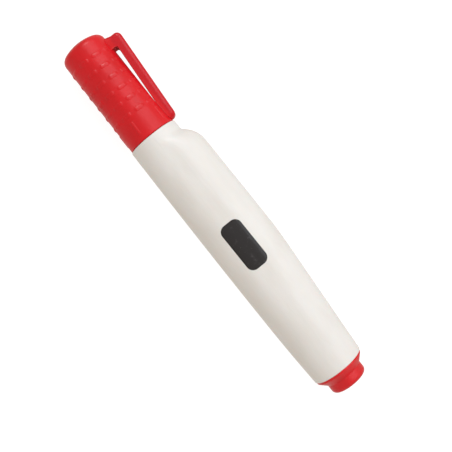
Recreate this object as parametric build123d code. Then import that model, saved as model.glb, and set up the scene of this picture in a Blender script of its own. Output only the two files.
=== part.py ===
from build123d import *
import os
from math import sqrt

# A capped whiteboard marker lying on its flat side. Millimetres.
# Every piece is first drawn about the pen's own axis, which runs along X: the cap's closed end
# points to +X and the clip and the barrel's hump point to -Y. place() then lifts the pen so that
# the origin is the middle of the underside of its bounding box, with +Z up.

# Lengths along the pen axis, measured from the middle of the pen
LENGTH = 135.5
CAP_END = LENGTH / 2
PLUG_END = -LENGTH / 2
COLLAR_FACE = 30.65
CAP_GAP = 0.1
CAP_RIM = COLLAR_FACE + CAP_GAP
BARREL_END = -61.2

# Barrel: a round tube with a hump along the clip side
COLLAR_R = 8.45
ROUND_R_MAX = 9.17
ROUND_R_END = 8.70
ROUND_PEAK_X = -38.2
HUMP_H = 12.38
HUMP_END_H = 8.85
SHOULDER_FOOT_X = 27.2
SHOULDER_TOP_X = 23.3
HUMP_TAPER_X = -15.7
SHOULDER_RADII = (1.5, 8.5, 150.0)
FLAT_MIN = 0.3
FLAT_SHARE = 0.75
STATION_STEP = 1.2
LOFT_MARGIN = 6.0
BARREL_WALL = 1.3
EDGE_R = 0.35

# Working allowances: how far a cutter runs past what it cuts, and how far joined forms overlap
CUT_MARGIN = 1.0
JOIN_OVERLAP = 0.5
CUT_OVERLAP = 0.1
TOLERANCE = 1e-6

# Neck that the cap seats on, and the land that the end plug is pressed into
NECK_R = 6.55
NECK_BORE_R = 5.35
NECK_END = 41.0
BEAD_R = 6.70
BEAD_X = 37.0
BEAD_WIDTH = 1.4
PLUG_BORE_R = 7.40
PLUG_LAND_X = -52.3

# Fibre reservoir and its film sleeve
RESERVOIR_R = 5.90
FILM_THICKNESS = 0.15
RESERVOIR_FRONT = 29.0
RESERVOIR_REAR = -54.8
FILM_SETBACK = 0.5
CRADLE_BORE_R = 6.15
CRADLE_WALL = 0.85
CRADLE_LENGTH = 7.0

# Bullet nib and its holder
NIB_R = 2.30
NIB_TIP = 57.5
NIB_REAR = 21.0
NIB_POINT = 1.6
HOLDER_SLEEVE_REAR = 33.0
HOLDER_TUBE_R = 3.40
HOLDER_FLANGE_R = 6.40
HOLDER_FLANGE = 1.0
SEAL_LAND_R = 4.65
SEAL_LAND_END = 46.5
CONE_END_X = 52.0
CONE_END_R = 3.10
HOLDER_WALL = 1.1

# Cap and its moulded clip
CAP_R_RIM = 8.15
CAP_R_END = 7.60
CAP_CORNER_X = 65.8
CAP_CORNER_R = 2.4
CAP_MOUTH_R = 6.78
CAP_MOUTH_END = 41.6
CAP_BORE_R = 6.50
CAP_BORE_END = 65.2
CAP_BORE_CHAMFER = 1.0
BEAD_GROOVE_R = 6.95
CLIP_FRONT_X = 63.1
CLIP_ROOT_H = 12.49
CLIP_ROOT_WIDTH = 6.4
CLIP_FOOT_H = 9.4
CLIP_FOOT_LEAD = 0.7
CLIP_FOOT_R = 1.5
CLIP_EMBED = 0.3
CLIP_TIP_X = 31.1
CLIP_TIP_H = 10.15
CLIP_TIP_WIDTH = 5.8
CLIP_CORNER_R = 1.7
CLIP_TIP_R = 1.8
CLIP_TIP_PLAN_R = 2.0
CLIP_EDGE_R = 1.3
CLIP_LIFT = 0.05

# Slot between the clip and the cap, with a flat on the cap below it
SLOT_END_X = 59.4
SLOT_END_H = 9.15
SLOT_END_R = 0.6
SLOT_NARROW_X = 39.0
SLOT_NARROW_H = 7.57
SLOT_HALF_WIDTH = 5.0
FLAT_END_H = 7.72
FLAT_NARROW_H = 7.42
FLAT_LEAD = 0.5

# Grip pattern round the cap: rows of low bars across it, with short ribs along it by the rim
GRIP_ROWS = 10
BARS_PER_ROW = 6
BAR_PITCH = 4.16
BAR_FIRST_X = 39.5
BAR_R = 1.6
BAR_PROUD = 0.20
BAR_ARC = 14.0
RIB_R = 1.0
RIB_PROUD = 0.16
RIB_START_X = 33.1
RIB_END_X = 36.9

# Sealing liner inside the cap
LINER_MOUTH = 42.3
LINER_END = 63.4
LINER_BORE_R = 4.70
LINER_WALL = 0.9
LINER_FLANGE = 1.4
LINER_FLOOR = 1.1
LINER_RIBS = 6
LINER_RIB_WIDTH = 1.2
LINER_RIB_SETBACK = 2.0

# End plug
PLUG_FLANGE_R = 8.45
PLUG_FLANGE = 0.65
PLUG_STUB_R = 6.25
PLUG_TAPER = 2.95
PLUG_CORNER_R = 1.4
PLUG_BLEND_R = 0.4
PLUG_DOME = 0.25
PLUG_FLAT_R = 3.6
PLUG_SKIRT_FRONT = -53.3
PLUG_WALL = 1.15
PLUG_FLOOR = 1.5
PLUG_RIB_FRONT = -55.0
PLUG_RIB_WIDTH = 1.0
PLUG_RIB_INSET = 0.75

AXIS_Y = (HUMP_H - ROUND_R_MAX) / 2
AXIS_Z = ROUND_R_MAX


def place(shape):
    """Move a piece drawn about the pen axis to its place above the resting plane."""
    return Pos(0, AXIS_Y, AXIS_Z) * shape


def turned(*points):
    """Solid turned about the pen axis from the corners (x, radius) of its half section."""
    return revolve(make_face(Polyline(*points, close=True)), Axis.X)


def rod(x_start, x_end, radius):
    """Plain round rod or bore along the pen axis."""
    return turned((x_start, 0), (x_end, 0), (x_end, radius), (x_start, radius))


def tube(x_start, x_end, inner, outer):
    """Plain round tube along the pen axis."""
    return turned((x_start, inner), (x_end, inner), (x_end, outer), (x_start, outer))


def round_radius(x):
    """Radius of the barrel's round side, fullest at ROUND_PEAK_X and slimmer to both ends."""
    reach = COLLAR_FACE - ROUND_PEAK_X if x > ROUND_PEAK_X else BARREL_END - ROUND_PEAK_X
    loss = ROUND_R_MAX - (COLLAR_R if x > ROUND_PEAK_X else ROUND_R_END)
    return ROUND_R_MAX - loss * ((x - ROUND_PEAK_X) / reach) ** 2


def make_crest():
    """Side outline of the hump: collar, rounded shoulder, level top and long taper to the rear."""
    taper = (HUMP_H - HUMP_END_H) / (HUMP_TAPER_X - BARREL_END)
    return FilletPolyline(
        (COLLAR_FACE + LOFT_MARGIN, COLLAR_R),
        (SHOULDER_FOOT_X, COLLAR_R),
        (SHOULDER_TOP_X, HUMP_H),
        (HUMP_TAPER_X, HUMP_H),
        (BARREL_END - LOFT_MARGIN, HUMP_END_H - taper * LOFT_MARGIN),
        radius=SHOULDER_RADII,
    )


def crest_height(crest_edges, x):
    """Height of the hump's crest above the pen axis at x."""
    for edge in crest_edges:
        ends = sorted([edge @ 0, edge @ 1], key=lambda point: point.X)
        if ends[0].X - TOLERANCE <= x <= ends[1].X + TOLERANCE:
            break
    if edge.geom_type == GeomType.LINE:
        share = (x - ends[0].X) / (ends[1].X - ends[0].X)
        return ends[0].Y + share * (ends[1].Y - ends[0].Y)
    centre = edge.arc_center
    rise = sqrt(edge.radius**2 - (x - centre.X) ** 2)
    return centre.Y + rise if (edge @ 0.5).Y > centre.Y else centre.Y - rise


def barrel_section(x, height, wall):
    """Section at x: half a circle to +Y, half an ellipse to -Y, joined by short flats."""
    radius = round_radius(x)
    flat = FLAT_MIN + FLAT_SHARE * max(height - radius, 0)
    half_width = radius - wall
    depth = height - wall - flat
    outline = Curve() + [
        CenterArc((0, 0), half_width, -90, 180),
        Line((0, half_width), (-flat, half_width)),
        EllipticalCenterArc((-flat, 0), depth, half_width, 90, arc_size=180),
        Line((-flat, -half_width), (0, -half_width)),
    ]
    across = Plane(origin=(x, 0, 0), x_dir=(0, 1, 0), z_dir=(1, 0, 0))
    return across * make_face(outline)


def barrel_form(wall, x_min, x_max):
    """Smooth form through evenly spaced barrel sections, drawn in by the wall thickness."""
    crest_edges = make_crest().edges()
    start = x_min - LOFT_MARGIN
    span = x_max + LOFT_MARGIN - start
    count = round(span / STATION_STEP)
    stations = [start + span * n / count for n in range(count + 1)]
    form = loft([barrel_section(x, crest_height(crest_edges, x), wall) for x in stations])
    return form & rod(x_min, x_max, 2 * HUMP_H)


def make_barrel():
    """One-piece moulded barrel: hollow body, neck for the cap and cradle for the reservoir."""
    body = barrel_form(0, BARREL_END, COLLAR_FACE)
    end_edges = body.edges().group_by(Axis.X)
    body = fillet(end_edges[0] + end_edges[-1], EDGE_R)
    cradle_front = COLLAR_FACE - BARREL_WALL
    body -= barrel_form(BARREL_WALL, PLUG_LAND_X, cradle_front)
    body += tube(
        cradle_front - CRADLE_LENGTH,
        cradle_front + JOIN_OVERLAP,
        CRADLE_BORE_R,
        CRADLE_BORE_R + CRADLE_WALL,
    )
    body += turned(
        (cradle_front, 0),
        (NECK_END, 0),
        (NECK_END, NECK_R - EDGE_R),
        (NECK_END - EDGE_R, NECK_R),
        (BEAD_X + BEAD_WIDTH / 2, NECK_R),
        (BEAD_X, BEAD_R),
        (BEAD_X - BEAD_WIDTH / 2, NECK_R),
        (cradle_front, NECK_R),
    )
    body -= rod(RESERVOIR_FRONT, NECK_END + CUT_MARGIN, NECK_BORE_R)
    body -= rod(BARREL_END - CUT_MARGIN, PLUG_LAND_X + CUT_MARGIN, PLUG_BORE_R)
    return body


def make_nib():
    """Fibre nib: bullet tip in front, blunt cone behind where it enters the reservoir."""
    shank = turned(
        (NIB_REAR, 0),
        (NIB_TIP - NIB_R, 0),
        (NIB_TIP - NIB_R, NIB_R),
        (NIB_REAR + NIB_POINT, NIB_R),
        (NIB_REAR, NIB_R / 2),
    )
    return shank + Pos(NIB_TIP - NIB_R, 0, 0) * Sphere(NIB_R)


def make_nib_holder():
    """Front section: sleeve pressed into the neck, flange, sealing land, cone and nib tube."""
    flange_front = NECK_END + HOLDER_FLANGE
    shell = turned(
        (HOLDER_SLEEVE_REAR, NECK_BORE_R - HOLDER_WALL),
        (HOLDER_SLEEVE_REAR, NECK_BORE_R),
        (NECK_END, NECK_BORE_R),
        (NECK_END, HOLDER_FLANGE_R),
        (flange_front, HOLDER_FLANGE_R),
        (flange_front, SEAL_LAND_R),
        (SEAL_LAND_END, SEAL_LAND_R),
        (CONE_END_X, CONE_END_R),
        (CONE_END_X, NIB_R),
        (SEAL_LAND_END - HOLDER_WALL, NIB_R),
        (SEAL_LAND_END - HOLDER_WALL, SEAL_LAND_R - HOLDER_WALL),
        (NECK_END, SEAL_LAND_R - HOLDER_WALL),
        (NECK_END - HOLDER_WALL, NECK_BORE_R - HOLDER_WALL),
    )
    nib_tube = tube(COLLAR_FACE, SEAL_LAND_END, NIB_R, HOLDER_TUBE_R)
    web = tube(NECK_END - HOLDER_WALL, NECK_END + HOLDER_FLANGE, NIB_R, NECK_BORE_R - HOLDER_WALL / 2)
    return shell + nib_tube + web


def make_reservoir():
    """Fibre rod that holds the ink, pierced in front by the nib."""
    body = rod(RESERVOIR_REAR, RESERVOIR_FRONT, RESERVOIR_R)
    socket = turned(
        (NIB_REAR, 0),
        (RESERVOIR_FRONT + CUT_MARGIN, 0),
        (RESERVOIR_FRONT + CUT_MARGIN, NIB_R),
        (NIB_REAR + NIB_POINT, NIB_R),
        (NIB_REAR, NIB_R / 2),
    )
    return body - socket


def make_reservoir_film():
    """Thin plastic film sleeve that keeps the ink in the fibre rod."""
    return tube(
        RESERVOIR_REAR + FILM_SETBACK,
        RESERVOIR_FRONT - FILM_SETBACK,
        RESERVOIR_R,
        RESERVOIR_R + FILM_THICKNESS,
    )


def make_end_plug():
    """Plug that closes the barrel: flange, taper and stub outside, hollow skirt and ribs inside."""
    stub_start = BARREL_END - PLUG_TAPER
    stub_end = PLUG_END + PLUG_DOME
    half_section = make_face(
        Polyline(
            (PLUG_SKIRT_FRONT, 0),
            (PLUG_SKIRT_FRONT, PLUG_BORE_R - EDGE_R),
            (PLUG_SKIRT_FRONT - EDGE_R, PLUG_BORE_R),
            (BARREL_END, PLUG_BORE_R),
            (BARREL_END, PLUG_FLANGE_R),
            (BARREL_END - PLUG_FLANGE, PLUG_FLANGE_R),
            (stub_start, PLUG_STUB_R),
            (stub_end, PLUG_STUB_R),
            (PLUG_END, PLUG_FLAT_R),
            (PLUG_END, 0),
            close=True,
        )
    )
    corners = half_section.vertices()
    end_corner = corners.sort_by_distance((stub_end, PLUG_STUB_R))[0]
    half_section = fillet(end_corner, PLUG_CORNER_R)
    corners = half_section.vertices()
    flange_corner = corners.sort_by_distance((BARREL_END - PLUG_FLANGE, PLUG_FLANGE_R))[0]
    waist_corner = corners.sort_by_distance((stub_start, PLUG_STUB_R))[0]
    half_section = fillet([flange_corner, waist_corner], PLUG_BLEND_R)
    plug = revolve(half_section, Axis.X)
    plug -= rod(PLUG_SKIRT_FRONT + CUT_MARGIN, BARREL_END, PLUG_BORE_R - PLUG_WALL)
    plug -= rod(BARREL_END + CUT_MARGIN, PLUG_END + PLUG_FLOOR, PLUG_STUB_R - PLUG_WALL)
    rib_length = PLUG_RIB_FRONT - (PLUG_END + PLUG_FLOOR / 2)
    rib_centre = (PLUG_RIB_FRONT + PLUG_END + PLUG_FLOOR / 2) / 2
    rib_span = 2 * (PLUG_STUB_R - PLUG_RIB_INSET)
    rib = Pos(rib_centre, 0, 0) * Box(rib_length, rib_span, PLUG_RIB_WIDTH)
    return plug + rib + Rot(90, 0, 0) * rib


def make_cap_shell():
    """Turned shell of the cap: slight taper, rounded closed end, stepped bore with a snap groove."""
    dome_depth = CAP_END - CAP_CORNER_X
    dome_radius = (CAP_R_END**2 + dome_depth**2) / (2 * dome_depth)
    half_way = CAP_END - dome_radius + sqrt(dome_radius**2 - (CAP_R_END / 2) ** 2)
    outline = Curve() + [
        Polyline(
            (CAP_END, 0),
            (CAP_RIM, 0),
            (CAP_RIM, CAP_R_RIM),
            (CAP_CORNER_X, CAP_R_END),
        ),
        ThreePointArc((CAP_CORNER_X, CAP_R_END), (half_way, CAP_R_END / 2), (CAP_END, 0)),
    ]
    half_section = make_face(outline)
    end_corner = half_section.vertices().sort_by_distance((CAP_CORNER_X, CAP_R_END))[0]
    half_section = fillet(end_corner, CAP_CORNER_R)
    rim_corner = half_section.vertices().sort_by_distance((CAP_RIM, CAP_R_RIM))[0]
    half_section = fillet(rim_corner, EDGE_R)
    return revolve(half_section, Axis.X)


def make_cap_bore():
    """Inside of the cap: lead-in, seat with the snap groove, and the narrower bore for the liner."""
    return turned(
        (CAP_RIM - CUT_MARGIN, 0),
        (CAP_RIM - CUT_MARGIN, CAP_MOUTH_R + EDGE_R),
        (CAP_RIM, CAP_MOUTH_R + EDGE_R),
        (CAP_RIM + EDGE_R, CAP_MOUTH_R),
        (BEAD_X - BEAD_WIDTH, CAP_MOUTH_R),
        (BEAD_X, BEAD_GROOVE_R),
        (BEAD_X + BEAD_WIDTH, CAP_MOUTH_R),
        (CAP_MOUTH_END, CAP_MOUTH_R),
        (CAP_MOUTH_END, CAP_BORE_R),
        (CAP_BORE_END - CAP_BORE_CHAMFER, CAP_BORE_R),
        (CAP_BORE_END, CAP_BORE_R - CAP_BORE_CHAMFER),
        (CAP_BORE_END, 0),
    )


def cap_radius(x):
    """Outer radius of the tapered cap at x."""
    share = (x - CAP_RIM) / (CAP_CORNER_X - CAP_RIM)
    return CAP_R_RIM + share * (CAP_R_END - CAP_R_RIM)


def make_clip():
    """Clip moulded with the cap: root block near the closed end and a tapering arm to the rim."""
    foot = CAP_BORE_R + CLIP_EMBED
    side = FilletPolyline(
        (CLIP_FRONT_X + CLIP_FOOT_LEAD, -foot),
        (CLIP_FRONT_X, -CLIP_FOOT_H),
        (CLIP_FRONT_X, -CLIP_ROOT_H),
        (CLIP_TIP_X, -CLIP_TIP_H),
        (CLIP_TIP_X, -foot),
        radius=(CLIP_FOOT_R, CLIP_CORNER_R, CLIP_TIP_R),
    )
    slab = extrude(make_face(Curve() + [side, Line(side @ 1, side @ 0)]), CLIP_ROOT_WIDTH, both=True)
    root, tip = CLIP_ROOT_WIDTH / 2, CLIP_TIP_WIDTH / 2
    front = CLIP_FRONT_X + CUT_MARGIN
    plan = FilletPolyline(
        (front, root), (CLIP_TIP_X, tip), (CLIP_TIP_X, -tip), (front, -root), radius=CLIP_TIP_PLAN_R
    )
    plan_face = make_face(Curve() + [plan, Line(plan @ 1, plan @ 0)])
    arm = slab & extrude(Plane.XZ * plan_face, 2 * CLIP_ROOT_H)
    outer_face = arm.faces().filter_by(GeomType.PLANE).sort_by(Axis.Y)[0]
    arm = fillet(outer_face.edges().sort_by(SortBy.LENGTH)[-2:], CLIP_EDGE_R)
    return arm - make_slot() - make_cap_clearance()


def make_slot():
    """Cutter for the slot: rounded at the root, closing towards the free end of the arm."""
    outline = FilletPolyline(
        (SLOT_NARROW_X, 0),
        (SLOT_NARROW_X, -SLOT_NARROW_H),
        (SLOT_END_X, -SLOT_END_H),
        (SLOT_END_X, 0),
        radius=(0, SLOT_END_R),
    )
    return extrude(make_face(Curve() + [outline, Line(outline @ 1, outline @ 0)]), SLOT_HALF_WIDTH, both=True)


def make_cap_clearance():
    """Cutter that keeps the free end of the arm just off the round cap."""
    start, end = CLIP_TIP_X - CUT_MARGIN, SLOT_NARROW_X + CUT_OVERLAP
    return turned(
        (start, 0),
        (end, 0),
        (end, cap_radius(end) + CLIP_LIFT),
        (start, cap_radius(start) + CLIP_LIFT),
    )


def make_flat():
    """Cutter for the flat on the cap below the slot."""
    start = SLOT_NARROW_X - FLAT_LEAD
    outside = CAP_R_RIM + CUT_MARGIN
    outline = Polyline(
        (start, -FLAT_NARROW_H),
        (SLOT_END_X, -FLAT_END_H),
        (SLOT_END_X, -outside),
        (start, -outside),
        close=True,
    )
    return extrude(make_face(outline), SLOT_HALF_WIDTH, both=True)


def make_grip_bars():
    """Rows of low rounded bars across the cap; the row under the clip is left out."""
    bars = []
    for step in range(BARS_PER_ROW):
        x = BAR_FIRST_X + step * BAR_PITCH
        centre = Pos(x, -(cap_radius(x) - BAR_R + BAR_PROUD))
        middle = revolve(centre * Circle(BAR_R), Axis.X, revolution_arc=BAR_ARC)
        end = centre * Sphere(BAR_R)
        for row in range(1, GRIP_ROWS):
            turn = row * 360 / GRIP_ROWS - BAR_ARC / 2
            bars += [Rot(turn, 0, 0) * middle, Rot(turn, 0, 0) * end, Rot(turn + BAR_ARC, 0, 0) * end]
    return bars


def make_rim_ribs():
    """Short lengthwise ribs between the bars and the rim, in line with every other row."""
    middle = (RIB_START_X + RIB_END_X) / 2
    height = cap_radius(middle) - RIB_R + RIB_PROUD
    bar = Pos(middle, -height, 0) * Rot(0, 90, 0) * Cylinder(RIB_R, RIB_END_X - RIB_START_X)
    ends = [Pos(x, -height, 0) * Sphere(RIB_R) for x in (RIB_START_X, RIB_END_X)]
    rib = bar + ends
    return [Rot(row * 360 / GRIP_ROWS, 0, 0) * rib for row in range(1, GRIP_ROWS, 2)]


def make_cap():
    """Cap with its moulded clip, grip pattern and stepped bore."""
    shell = make_cap_shell() + make_grip_bars() + make_rim_ribs()
    return shell - make_flat() + make_clip() - make_cap_bore()


def make_inner_cap():
    """Liner in the cap that seals round the front section and keeps the nib wet."""
    outer = LINER_BORE_R + LINER_WALL
    cup = turned(
        (LINER_MOUTH, LINER_BORE_R),
        (LINER_MOUTH, CAP_BORE_R),
        (LINER_MOUTH + LINER_FLANGE, CAP_BORE_R),
        (LINER_MOUTH + LINER_FLANGE, outer),
        (LINER_END - LINER_WALL, outer),
        (LINER_END, outer - LINER_WALL),
        (LINER_END, 0),
        (LINER_END - LINER_FLOOR, 0),
        (LINER_END - LINER_FLOOR, LINER_BORE_R),
    )
    rib_length = LINER_END - LINER_RIB_SETBACK - LINER_MOUTH
    rib_height = CAP_BORE_R - outer + LINER_WALL / 2
    rib_middle = CAP_BORE_R - rib_height / 2
    rib = Pos(LINER_MOUTH + rib_length / 2, 0, rib_middle) * Box(rib_length, LINER_RIB_WIDTH, rib_height)
    limit = rod(LINER_MOUTH, LINER_END, CAP_BORE_R)
    ribs = [(Rot(n * 360 / LINER_RIBS, 0, 0) * rib) & limit for n in range(LINER_RIBS)]
    return cup + ribs


PIECES = {
    "barrel": make_barrel,
    "end_plug": make_end_plug,
    "reservoir": make_reservoir,
    "reservoir_film": make_reservoir_film,
    "nib_holder": make_nib_holder,
    "nib": make_nib,
    "cap": make_cap,
    "inner_cap": make_inner_cap,
}

os.makedirs("parts", exist_ok=True)
for name, make in PIECES.items():
    export_step(place(make()), f"parts/{name}.step")
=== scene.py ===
from math import cos, radians, sin, sqrt

import bpy
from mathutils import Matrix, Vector
from mathutils.bvhtree import BVHTree


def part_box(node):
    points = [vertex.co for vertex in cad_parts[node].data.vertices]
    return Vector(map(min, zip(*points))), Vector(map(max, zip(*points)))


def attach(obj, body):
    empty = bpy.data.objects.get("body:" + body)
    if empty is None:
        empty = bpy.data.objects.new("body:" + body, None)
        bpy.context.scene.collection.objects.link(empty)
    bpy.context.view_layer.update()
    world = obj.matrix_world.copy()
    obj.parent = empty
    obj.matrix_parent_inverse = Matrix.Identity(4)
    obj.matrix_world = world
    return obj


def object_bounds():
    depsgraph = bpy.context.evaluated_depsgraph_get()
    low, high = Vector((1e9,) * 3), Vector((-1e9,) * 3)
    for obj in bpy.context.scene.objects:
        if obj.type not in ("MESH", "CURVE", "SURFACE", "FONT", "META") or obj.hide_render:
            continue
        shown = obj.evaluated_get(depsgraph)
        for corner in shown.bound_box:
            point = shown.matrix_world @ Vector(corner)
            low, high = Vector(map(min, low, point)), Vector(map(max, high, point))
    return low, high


MM = 0.001

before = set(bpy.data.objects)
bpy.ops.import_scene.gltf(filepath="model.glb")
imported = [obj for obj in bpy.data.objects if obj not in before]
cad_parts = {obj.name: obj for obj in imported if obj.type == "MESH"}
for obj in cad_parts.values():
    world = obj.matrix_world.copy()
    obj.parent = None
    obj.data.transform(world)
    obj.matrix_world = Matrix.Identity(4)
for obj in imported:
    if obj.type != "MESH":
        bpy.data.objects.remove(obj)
cad_low, cad_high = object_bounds()

# The pen's own axis runs along X through the middle of the end plug
plug_low, plug_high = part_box("end_plug")
AXIS_Y = (plug_low[1] + plug_high[1]) / 2
AXIS_Z = (plug_low[2] + plug_high[2]) / 2

# Badge printed on the barrel's upper side
BADGE_X = -12.95 * MM
BADGE_Y = AXIS_Y - 1.0 * MM
BADGE_LENGTH = 16.4 * MM
BADGE_WIDTH = 7.2 * MM
BADGE_CORNER = 2.3 * MM
BADGE_PROUD = 0.035 * MM
BADGE_SUNK = 0.03 * MM
BADGE_COLUMNS = 72
BADGE_ROWS = 28
BADGE_CREASE = 40
RAY_CLEARANCE = 0.01

# Distances from the pen axis over which the painted shade on the clip comes in: its flank is painted a
# deeper red for shade
CLIP_PAINTED_SHADE_FROM = 8.2 * MM
CLIP_PAINTED_SHADE_FULL = 9.0 * MM

# Camera: straight above the marker, with the picture's middle a little behind the lens
VIEW_HEIGHT = 250 * MM
VIEW_WIDTH = 141.5 * MM
LENS_X = 0.7 * MM
VIEW_X = -5.35 * MM
VIEW_Y = AXIS_Y - 0.3 * MM
VIEW_TURN = 231.1
SENSOR = 36
CLIP_START = 0.01

# Studio: a pale world, a floor that glows, a broad key light and a small one for the highlights
WORLD_COLOUR = (1.0, 0.936, 0.864)
WORLD_STRENGTH = 0.70
FLOOR_REACH = 3.0
FLOOR_TONES = ((0.30, 0.30, 0.30), (0.29, 0.29, 0.29))
FLOOR_GLOW = 0.86
KEY_PLACE = (0.05, -0.39, 0.46)
KEY_SIZE = 0.60
KEY_POWER = 2.07
KEY_COLOUR = (0.93, 1.0, 1.085)
ACCENT_PLACE = (0.42, -0.26, 0.40)
ACCENT_SIZE = 0.12
ACCENT_POWER = 1.15
WHITE = (1.0, 1.0, 1.0)

# Shading: samples and reach of the edge, seam and gap masks, how matt gaps are, and the tone of the
# painted shade and dirt in seams
MASK_SAMPLES = 6
EDGE_REACH = 0.35 * MM
SEAM_REACH = 0.7 * MM
CAVITY_REACH = 4.0 * MM
CAVITY_ROUGHNESS = 0.55
DIRT_AND_SHADE_TONE = 0.35

# Linear colours
RED = (0.695, 0.0070, 0.0125)
RED_DEEP = (0.62, 0.005, 0.009)
# Painted shade: the deeper red painted on the clip's flank
RED_PAINTED_SHADE = (0.58, 0.004, 0.012)
RED_WORN = (0.80, 0.12, 0.12)
IVORY = (0.805, 0.788, 0.762)
IVORY_SHADE = (0.775, 0.752, 0.718)
INK_BLACK = (0.013, 0.011, 0.012)
INK_WORN = (0.050, 0.045, 0.048)
INK_RED = (0.38, 0.008, 0.014)
WHITE_PLASTIC = (0.78, 0.78, 0.76)
WHITE_SHADE = (0.70, 0.70, 0.68)
IVORY_WORN = (0.86, 0.84, 0.80)
WHITE_WORN = (0.84, 0.84, 0.82)
NIB_DRY = (0.52, 0.03, 0.04)
FIBRE_DRY = (0.62, 0.10, 0.11)
FILM_CLEAR = (0.80, 0.62, 0.62)
FILM_TINTED = (0.74, 0.48, 0.50)


class Shader:
    """A node material with short calls for the patterns that the marker's materials share."""

    def __init__(self, name):
        self.material = bpy.data.materials.new(name)
        self.material.use_nodes = True
        self.tree = self.material.node_tree
        self.surface = self.tree.nodes["Principled BSDF"]
        self.place = self.tree.nodes.new("ShaderNodeTexCoord").outputs["Object"]

    def add(self, kind, **settings):
        node = self.tree.nodes.new(kind)
        for name, value in settings.items():
            setattr(node, name, value)
        return node

    def link(self, value, socket):
        """Feed a socket from another socket or set it to a constant; colours get their alpha here."""
        if isinstance(value, bpy.types.NodeSocket):
            self.tree.links.new(value, socket)
        elif socket.type == "RGBA":
            socket.default_value = (*value, 1)
        else:
            socket.default_value = value

    def stretched(self, scale, turn=(0, 0, 0)):
        """Object coordinates turned and scaled, so that a pattern runs along one direction."""
        mapping = self.add("ShaderNodeMapping")
        self.link(self.place, mapping.inputs["Vector"])
        mapping.inputs["Rotation"].default_value = [radians(a) for a in turn]
        mapping.inputs["Scale"].default_value = scale
        return mapping.outputs["Vector"]

    def noise(self, scale, detail=2.0, vector=None):
        node = self.add("ShaderNodeTexNoise")
        self.link(vector or self.place, node.inputs["Vector"])
        node.inputs["Scale"].default_value = scale
        node.inputs["Detail"].default_value = detail
        return node.outputs["Fac"]

    def remap(self, value, low, high, to_low=0.0, to_high=1.0):
        node = self.add("ShaderNodeMapRange", interpolation_type="SMOOTHSTEP")
        self.link(value, node.inputs["Value"])
        node.inputs["From Min"].default_value = low
        node.inputs["From Max"].default_value = high
        node.inputs["To Min"].default_value = to_low
        node.inputs["To Max"].default_value = to_high
        return node.outputs["Result"]

    def math(self, operation, a, b):
        node = self.add("ShaderNodeMath", operation=operation)
        self.link(a, node.inputs[0])
        self.link(b, node.inputs[1])
        return node.outputs[0]

    def beside_axis(self, start, full):
        """0 near the pen axis and 1 beyond the cap's wall on the clip side."""
        split = self.add("ShaderNodeSeparateXYZ")
        self.link(self.place, split.inputs["Vector"])
        return self.remap(self.math("SUBTRACT", AXIS_Y, split.outputs["Y"]), start, full)

    def mix(self, share, a, b):
        """Colour a where share is 0 and colour b where it is 1."""
        node = self.add("ShaderNodeMix", data_type="RGBA")
        self.link(share, node.inputs["Factor"])
        self.link(a, node.inputs["A"])
        self.link(b, node.inputs["B"])
        return node.outputs["Result"]

    def scratches(self, turn, fineness=1.0):
        """Thin straight scratches along one direction, broken up over the surface."""
        lines = self.noise(1.0, 1.0, self.stretched((40, 2600 * fineness, 2600 * fineness), turn))
        patches = self.noise(1.0, 2.0, self.stretched((160, 240, 240), turn))
        thin = self.remap(lines, 0.665, 0.70)
        return self.math("MULTIPLY", thin, self.remap(patches, 0.50, 0.62))

    def edges(self, reach):
        """1 on outside edges and corners, 0 on open surface."""
        node = self.add("ShaderNodeAmbientOcclusion", inside=True, samples=MASK_SAMPLES)
        node.inputs["Distance"].default_value = reach
        return self.remap(node.outputs["AO"], 0.42, 0.75, 1.0, 0.0)

    def crevices(self, reach):
        """1 in seams and inside corners, 0 on open surface."""
        node = self.add("ShaderNodeAmbientOcclusion", samples=MASK_SAMPLES)
        node.inputs["Distance"].default_value = reach
        return self.remap(node.outputs["AO"], 0.35, 0.85, 1.0, 0.0)

    def bump(self, height, distance, strength=1.0, under=None):
        node = self.add("ShaderNodeBump")
        node.inputs["Distance"].default_value = distance
        node.inputs["Strength"].default_value = strength
        self.link(height, node.inputs["Height"])
        if under is not None:
            self.link(under, node.inputs["Normal"])
        return node.outputs["Normal"]

    def finish(self, **sockets):
        """Set the surface's own sockets, whose spaces are underscores here, and give the material."""
        for name, value in sockets.items():
            self.link(value, self.surface.inputs[name.replace("_", " ")])
        return self.material


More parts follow.
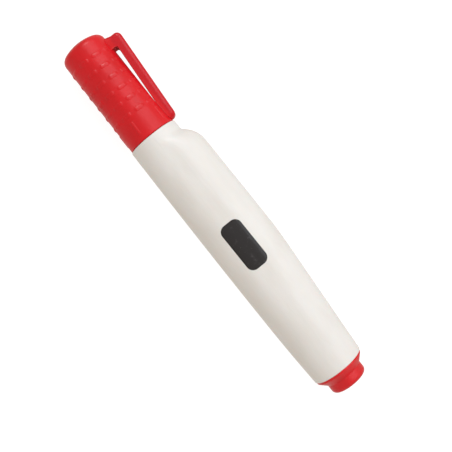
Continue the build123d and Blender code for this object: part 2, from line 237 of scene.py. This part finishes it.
def moulded_plastic(name, colour, shade, worn, roughness, glow, ior=1.46, dirt_and_shade_strength=0.12, clip=None):
    """Injection-moulded plastic: faint flow mottling, fine grain, handling scratches, rubbed edges, and
    seams darkened with painted shade and some dirt.

    clip is the colour of painted shade for what stands beside the pen's axis, past the cap's wall:
    the clip's flank is painted a deeper red for shade. A piece that has it is also matt in its deep
    gaps.
    """
    shader = Shader(name)
    flow = shader.noise(1.0, 3.0, shader.stretched((70, 190, 190)))
    speckle = shader.noise(5200, 1.0)
    body = shader.mix(shader.remap(flow, 0.34, 0.68), colour, shade)
    body = shader.mix(shader.remap(speckle, 0.62, 0.78, 0.0, 0.30), body, shade)
    rub_patches = shader.remap(shader.noise(420, 3.0), 0.40, 0.62)
    rubbed = shader.math("MULTIPLY", shader.edges(EDGE_REACH), rub_patches)
    body = shader.mix(shader.math("MULTIPLY", rubbed, 0.45), body, worn)
    # Painted shade: past the cap's wall the clip's flank is painted a deeper red
    if clip is not None:
        body = shader.mix(shader.beside_axis(CLIP_PAINTED_SHADE_FROM, CLIP_PAINTED_SHADE_FULL), body, clip)
    # Seams and inside corners darkened: painted shade, with some dirt
    seam_dirt_and_shade = shader.math("MULTIPLY", shader.crevices(SEAM_REACH), dirt_and_shade_strength)
    body = shader.mix(seam_dirt_and_shade, body, tuple(channel * DIRT_AND_SHADE_TONE for channel in shade))

    scratch_a = shader.scratches((0, 12, 20))
    scratch_b = shader.scratches((0, -25, -38), 1.3)
    scratch = shader.math("MAXIMUM", scratch_a, scratch_b)
    smudges = shader.remap(shader.noise(95, 4.0), 0.38, 0.66, -0.05, 0.07)
    grain = shader.noise(9000, 2.0)
    rough = shader.math("ADD", smudges, roughness)
    rough = shader.math("ADD", rough, shader.math("MULTIPLY", scratch, 0.16))
    rough = shader.math("ADD", rough, shader.math("MULTIPLY", rubbed, 0.10))

    if clip is not None:
        matt = shader.math("MULTIPLY", shader.crevices(CAVITY_REACH), CAVITY_ROUGHNESS)
        rough = shader.math("ADD", rough, matt)

    waves = shader.noise(330, 2.0)
    normal = shader.bump(waves, 0.010 * MM, 0.4)
    normal = shader.bump(grain, 0.006 * MM, 0.6, normal)
    normal = shader.bump(shader.math("MULTIPLY", scratch, -1.0), 0.012 * MM, 0.6, normal)
    shader.surface.subsurface_method = "RANDOM_WALK"
    return shader.finish(
        Base_Color=body,
        Roughness=rough,
        Normal=normal,
        IOR=ior,
        Subsurface_Weight=glow,
        Subsurface_Radius=(1.0, 0.55, 0.4),
        Subsurface_Scale=0.6 * MM,
    )


def printed_ink():
    """Glossy black pad print with a faint screen texture, pinholes and rubbed spots."""
    shader = Shader("badge_ink")
    rub = shader.remap(shader.noise(700, 4.0), 0.60, 0.74)
    body = shader.mix(shader.math("MULTIPLY", rub, 0.5), INK_BLACK, INK_WORN)
    pinholes = shader.remap(shader.noise(5200, 0.0), 0.83, 0.88)
    body = shader.mix(shader.math("MULTIPLY", pinholes, 0.25), body, IVORY_SHADE)
    rough = shader.math("ADD", shader.math("MULTIPLY", rub, 0.18), 0.30)
    scratch = shader.scratches((0, 8, 15), 1.2)
    rough = shader.math("ADD", rough, shader.math("MULTIPLY", scratch, 0.15))
    normal = shader.bump(shader.noise(2600, 2.0), 0.006 * MM, 0.5)
    normal = shader.bump(shader.math("MULTIPLY", scratch, -1.0), 0.008 * MM, 0.5, normal)
    return shader.finish(Base_Color=body, Roughness=rough, Normal=normal, IOR=1.47)


def inked_fibre(name, dry, wet):
    """Bonded lengthwise fibres soaked with ink, paler where they have dried."""
    shader = Shader(name)
    strands = shader.noise(1.0, 2.0, shader.stretched((900, 9000, 9000)))
    clumps = shader.noise(650, 3.0)
    body = shader.mix(shader.remap(strands, 0.36, 0.66), wet, dry)
    body = shader.mix(shader.remap(clumps, 0.52, 0.75, 0.0, 0.5), body, wet)
    rough = shader.remap(strands, 0.3, 0.7, 0.62, 0.88)
    normal = shader.bump(strands, 0.05 * MM, 0.8)
    normal = shader.bump(clumps, 0.05 * MM, 0.5, normal)
    return shader.finish(
        Base_Color=body, Roughness=rough, Normal=normal, Sheen_Weight=0.15, IOR=1.42
    )


def sleeve_film():
    """Clear wrinkled film drawn round the fibre rod, tinted by the ink behind it."""
    shader = Shader("sleeve_film")
    wrinkles = shader.noise(1.0, 3.0, shader.stretched((260, 900, 900)))
    body = shader.mix(shader.remap(wrinkles, 0.35, 0.65), FILM_CLEAR, FILM_TINTED)
    rough = shader.remap(wrinkles, 0.3, 0.7, 0.14, 0.26)
    normal = shader.bump(wrinkles, 0.12 * MM, 0.7)
    return shader.finish(Base_Color=body, Roughness=rough, Normal=normal, IOR=1.5, Alpha=0.55)


def dress(node, material):
    """Give a CAD node its material."""
    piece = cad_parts[node]
    piece.data.materials.clear()
    piece.data.materials.append(material)


def barrel_surface():
    """Search tree of the barrel, for laying the badge on it."""
    return BVHTree.FromObject(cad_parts["barrel"], bpy.context.evaluated_depsgraph_get())


def badge_half_width(along):
    """Half the badge's width at a distance along it from its middle, less in the round corners."""
    beyond = max(abs(along) - (BADGE_LENGTH / 2 - BADGE_CORNER), 0)
    return BADGE_WIDTH / 2 - BADGE_CORNER + sqrt(max(BADGE_CORNER**2 - beyond**2, 0))


def badge_points():
    """Points of the badge's upper side just above the barrel, and of its underside just below."""
    tree = barrel_surface()
    tops = []
    undersides = []
    for i in range(BADGE_COLUMNS + 1):
        along = -cos(radians(180 * i / BADGE_COLUMNS)) * BADGE_LENGTH / 2
        half = badge_half_width(along)
        for j in range(BADGE_ROWS + 1):
            across = half * (2 * j / BADGE_ROWS - 1)
            above = Vector((BADGE_X + along, BADGE_Y + across, cad_high.z + RAY_CLEARANCE))
            point, normal, _, _ = tree.ray_cast(above, Vector((0, 0, -1)))
            tops.append(point + normal * BADGE_PROUD)
            undersides.append(point - normal * BADGE_SUNK)
    return tops, undersides


def badge_faces(count):
    """Faces of the upper side, the underside and the rim, for count points on each side."""
    width = BADGE_ROWS + 1
    faces = []
    for i in range(BADGE_COLUMNS):
        for j in range(BADGE_ROWS):
            a = i * width + j
            quad = (a, a + width, a + width + 1, a + 1)
            faces.append(quad)
            faces.append(tuple(corner + count for corner in reversed(quad)))
    rim = [i * width for i in range(BADGE_COLUMNS + 1)]
    rim += [BADGE_COLUMNS * width + j for j in range(1, width)]
    rim += [i * width + BADGE_ROWS for i in range(BADGE_COLUMNS - 1, -1, -1)]
    rim += [j for j in range(BADGE_ROWS - 1, 0, -1)]
    for a, b in zip(rim, rim[1:] + rim[:1]):
        faces.append((b, a, a + count, b + count))
    return faces


def make_badge(material):
    """Thin black rounded rectangle that follows the barrel's upper side."""
    tops, undersides = badge_points()
    mesh = bpy.data.meshes.new("badge")
    mesh.from_pydata([tuple(point) for point in tops + undersides], [], badge_faces(len(tops)))
    mesh.validate()
    badge = bpy.data.objects.new("badge", mesh)
    bpy.context.scene.collection.objects.link(badge)
    mesh.materials.append(material)
    mesh.polygons.foreach_set("use_smooth", [True] * len(mesh.polygons))
    mesh.set_sharp_from_angle(angle=radians(BADGE_CREASE))
    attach(badge, "pen")


def make_floor():
    """Plain white floor that glows a little, so that only a faint shadow shows on it."""
    mesh = bpy.data.meshes.new("floor")
    reach = FLOOR_REACH
    corners = [(-reach, -reach, 0), (reach, -reach, 0), (reach, reach, 0), (-reach, reach, 0)]
    mesh.from_pydata(corners, [], [(0, 1, 2, 3)])
    floor = bpy.data.objects.new("floor", mesh)
    bpy.context.scene.collection.objects.link(floor)
    shader = Shader("floor_white")
    mottle = shader.noise(18, 3.0)
    tone = shader.mix(shader.remap(mottle, 0.3, 0.7), *FLOOR_TONES)
    mesh.materials.append(
        shader.finish(Base_Color=tone, Roughness=0.9, Emission_Color=WHITE, Emission_Strength=FLOOR_GLOW)
    )
    floor.visible_diffuse = False
    floor.visible_glossy = False


def add_softbox(name, place, size, power, colour):
    """Square area light aimed at the middle of the marker."""
    data = bpy.data.lights.new(name, "AREA")
    data.size = size
    data.energy = power
    data.color = colour
    light = bpy.data.objects.new(name, data)
    light.location = place
    aim = Vector((VIEW_X, AXIS_Y, AXIS_Z)) - Vector(place)
    light.rotation_euler = aim.to_track_quat("-Z", "Y").to_euler()
    bpy.context.scene.collection.objects.link(light)
    return light


def light_scene():
    """Even world light, the key, and an accent that only shows as highlights."""
    world = bpy.data.worlds.new("studio")
    world.use_nodes = True
    background = world.node_tree.nodes["Background"]
    background.inputs["Color"].default_value = (*WORLD_COLOUR, 1)
    background.inputs["Strength"].default_value = WORLD_STRENGTH
    bpy.context.scene.world = world
    add_softbox("key", KEY_PLACE, KEY_SIZE, KEY_POWER, KEY_COLOUR)
    accent = add_softbox("accent", ACCENT_PLACE, ACCENT_SIZE, ACCENT_POWER, WHITE)
    accent.visible_diffuse = False
    bpy.context.scene.view_settings.view_transform = "Standard"


def make_camera():
    """Camera straight above, turned so that the marker lies from upper left to lower right."""
    data = bpy.data.cameras.new("camera")
    data.sensor_width = SENSOR
    data.lens = SENSOR * VIEW_HEIGHT / VIEW_WIDTH
    turn = radians(VIEW_TURN)
    aside = (VIEW_X - LENS_X) / VIEW_WIDTH
    data.shift_x = aside * cos(turn)
    data.shift_y = -aside * sin(turn)
    data.clip_start = CLIP_START
    camera = bpy.data.objects.new("camera", data)
    camera.location = (LENS_X, VIEW_Y, AXIS_Z + VIEW_HEIGHT)
    camera.rotation_euler = (0, 0, turn)
    bpy.context.scene.collection.objects.link(camera)
    bpy.context.scene.camera = camera


# The cap's clip flank gets a painted shade of deeper red
cap_red = moulded_plastic(
    "cap_red", RED, RED_DEEP, RED_WORN, roughness=0.34, glow=0.12, ior=1.36, dirt_and_shade_strength=0.03, clip=RED_PAINTED_SHADE
)
# The plug's seams get stronger painted shade and dirt
plug_red = moulded_plastic(
    "plug_red", RED, RED_DEEP, RED_WORN, roughness=0.34, glow=0.12, ior=1.43, dirt_and_shade_strength=0.30
)
dress("cap", cap_red)
dress("end_plug", plug_red)
dress("barrel", moulded_plastic("barrel_ivory", IVORY, IVORY_SHADE, IVORY_WORN, 0.40, 0.15))
dress("nib_holder", moulded_plastic("holder_white", WHITE_PLASTIC, WHITE_SHADE, WHITE_WORN, 0.42, 0.2))
dress("inner_cap", moulded_plastic("liner_white", WHITE_PLASTIC, WHITE_SHADE, WHITE_WORN, 0.48, 0.2))
dress("nib", inked_fibre("nib_fibre", NIB_DRY, INK_RED))
dress("reservoir", inked_fibre("reservoir_fibre", FIBRE_DRY, INK_RED))
dress("reservoir_film", sleeve_film())
make_badge(printed_ink())

make_floor()
light_scene()
make_camera()
